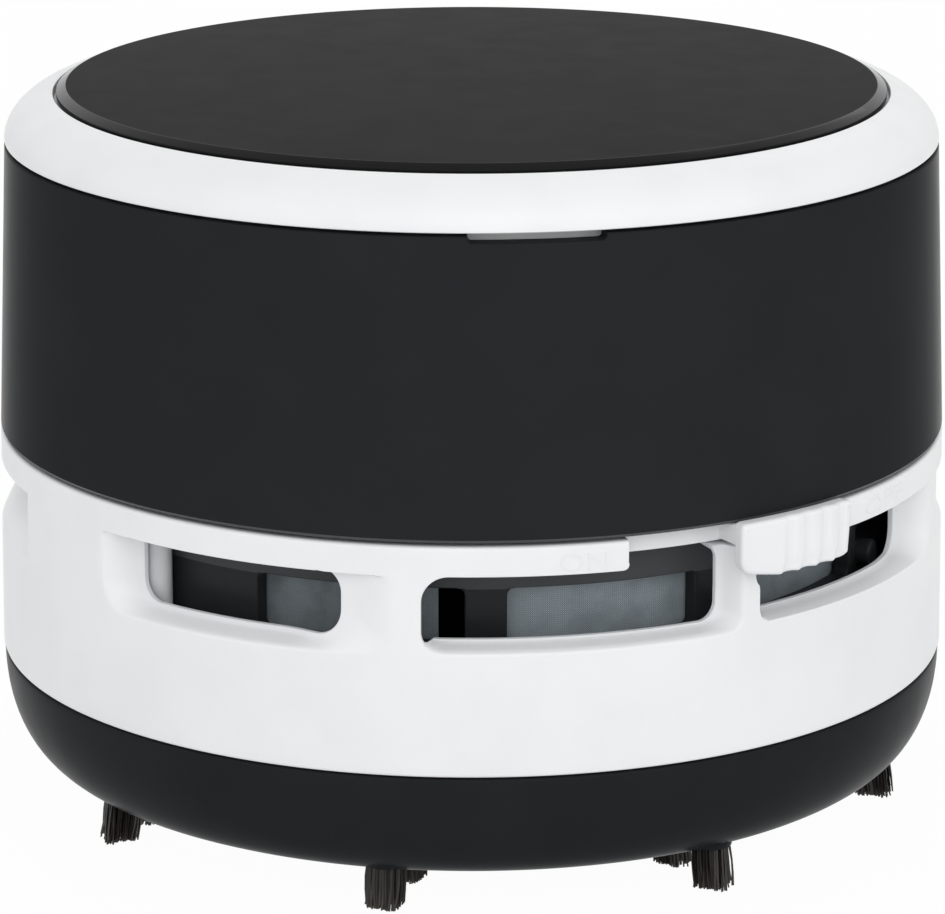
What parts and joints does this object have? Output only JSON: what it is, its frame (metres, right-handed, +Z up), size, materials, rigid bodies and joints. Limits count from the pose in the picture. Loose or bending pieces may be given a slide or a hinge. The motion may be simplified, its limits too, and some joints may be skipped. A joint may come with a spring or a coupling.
{
  "type": "desktop vacuum cleaner",
  "caption": "Round battery desktop vacuum cleaner with a brushed base that twists off, a vented ring with a slide switch, a black sleeve and a lift-off cap.",
  "frame": {"origin": "on the upright axis, at the level of the brush tips, which is the table's", "axes": "+Z up along the axis, -Y towards the side with the switch, +X to the right seen from there"},
  "size_m": [0.084, 0.084, 0.0638],
  "materials": {
    "white_plastic": "smooth white, soft gloss",
    "gloss_black_plastic": "high gloss",
    "matt_black_plastic": "satin",
    "black_inlay": "satin with a polished edge",
    "dark_bristle": "stiff bristle",
    "grey_mesh": "fine woven filter mesh",
    "grey_plastic": "moulded",
    "plated_steel": "zinc plated",
    "nickelled_brass": "stamped sheet",
    "sintered_bronze": "porous sintered",
    "cell_body": "printed wrapper left bare",
    "red_sheath": "insulated wire",
    "black_sheath": "insulated wire"
  },
  "bodies": {
    "housing": {"vent_ring": "white_plastic", "body_band": "gloss_black_plastic", "filter_frame": "matt_black_plastic", "filter_mesh": "grey_mesh", "chassis": "grey_plastic", "motor_endbell": "grey_plastic", "motor_can": "plated_steel", "cell_spring_front": "plated_steel", "cell_spring_rear": "plated_steel", "housing_screw_1": "plated_steel", "housing_screw_2": "plated_steel", "contact_bridge": "nickelled_brass", "contact_front": "nickelled_brass", "contact_rear": "nickelled_brass", "switch_tab_a": "nickelled_brass", "switch_tab_b": "nickelled_brass", "motor_bush": "sintered_bronze", "cell_front": "cell_body", "cell_rear": "cell_body", "wire_plus": "red_sheath", "wire_switch": "red_sheath", "wire_minus": "black_sheath"},
    "base": {"base_cover": "matt_black_plastic", "suction_inlet": "matt_black_plastic", "brush_outer_1": "dark_bristle", "brush_inner_1": "dark_bristle", "brush_outer_2": "dark_bristle", "brush_inner_2": "dark_bristle", "brush_outer_3": "dark_bristle", "brush_inner_3": "dark_bristle", "brush_outer_4": "dark_bristle", "brush_inner_4": "dark_bristle", "brush_outer_5": "dark_bristle", "brush_inner_5": "dark_bristle", "brush_outer_6": "dark_bristle", "brush_inner_6": "dark_bristle", "brush_outer_7": "dark_bristle", "brush_inner_7": "dark_bristle", "brush_outer_8": "dark_bristle", "brush_inner_8": "dark_bristle"},
    "switch": {"switch_slider": "white_plastic", "slider_contact": "nickelled_brass"},
    "fan": {"impeller": "grey_plastic", "motor_shaft": "plated_steel", "motor_rotor": "plated_steel"},
    "lid": {"battery_lid": "white_plastic", "top_disc": "black_inlay"}
  },
  "joints": [
    {"name": "base_twist", "type": "hinge", "parent": "housing", "child": "base", "pos_m": [0, 0, 0], "axis": [0, 0, 1], "range_deg": [0, 14]},
    {"name": "switch_slide", "type": "hinge", "parent": "housing", "child": "switch", "pos_m": [0, 0, 0.0327], "axis": [0, 0, 1], "range_deg": [-11.5, 0]},
    {"name": "fan_spin", "type": "hinge", "parent": "housing", "child": "fan", "pos_m": [0, 0, 0.0286], "axis": [0, 0, 1], "continuous": true},
    {"name": "lid_lift", "type": "slide", "parent": "housing", "child": "lid", "axis": [0, 0, 1], "range_m": [0, 0.03]}
  ]
}
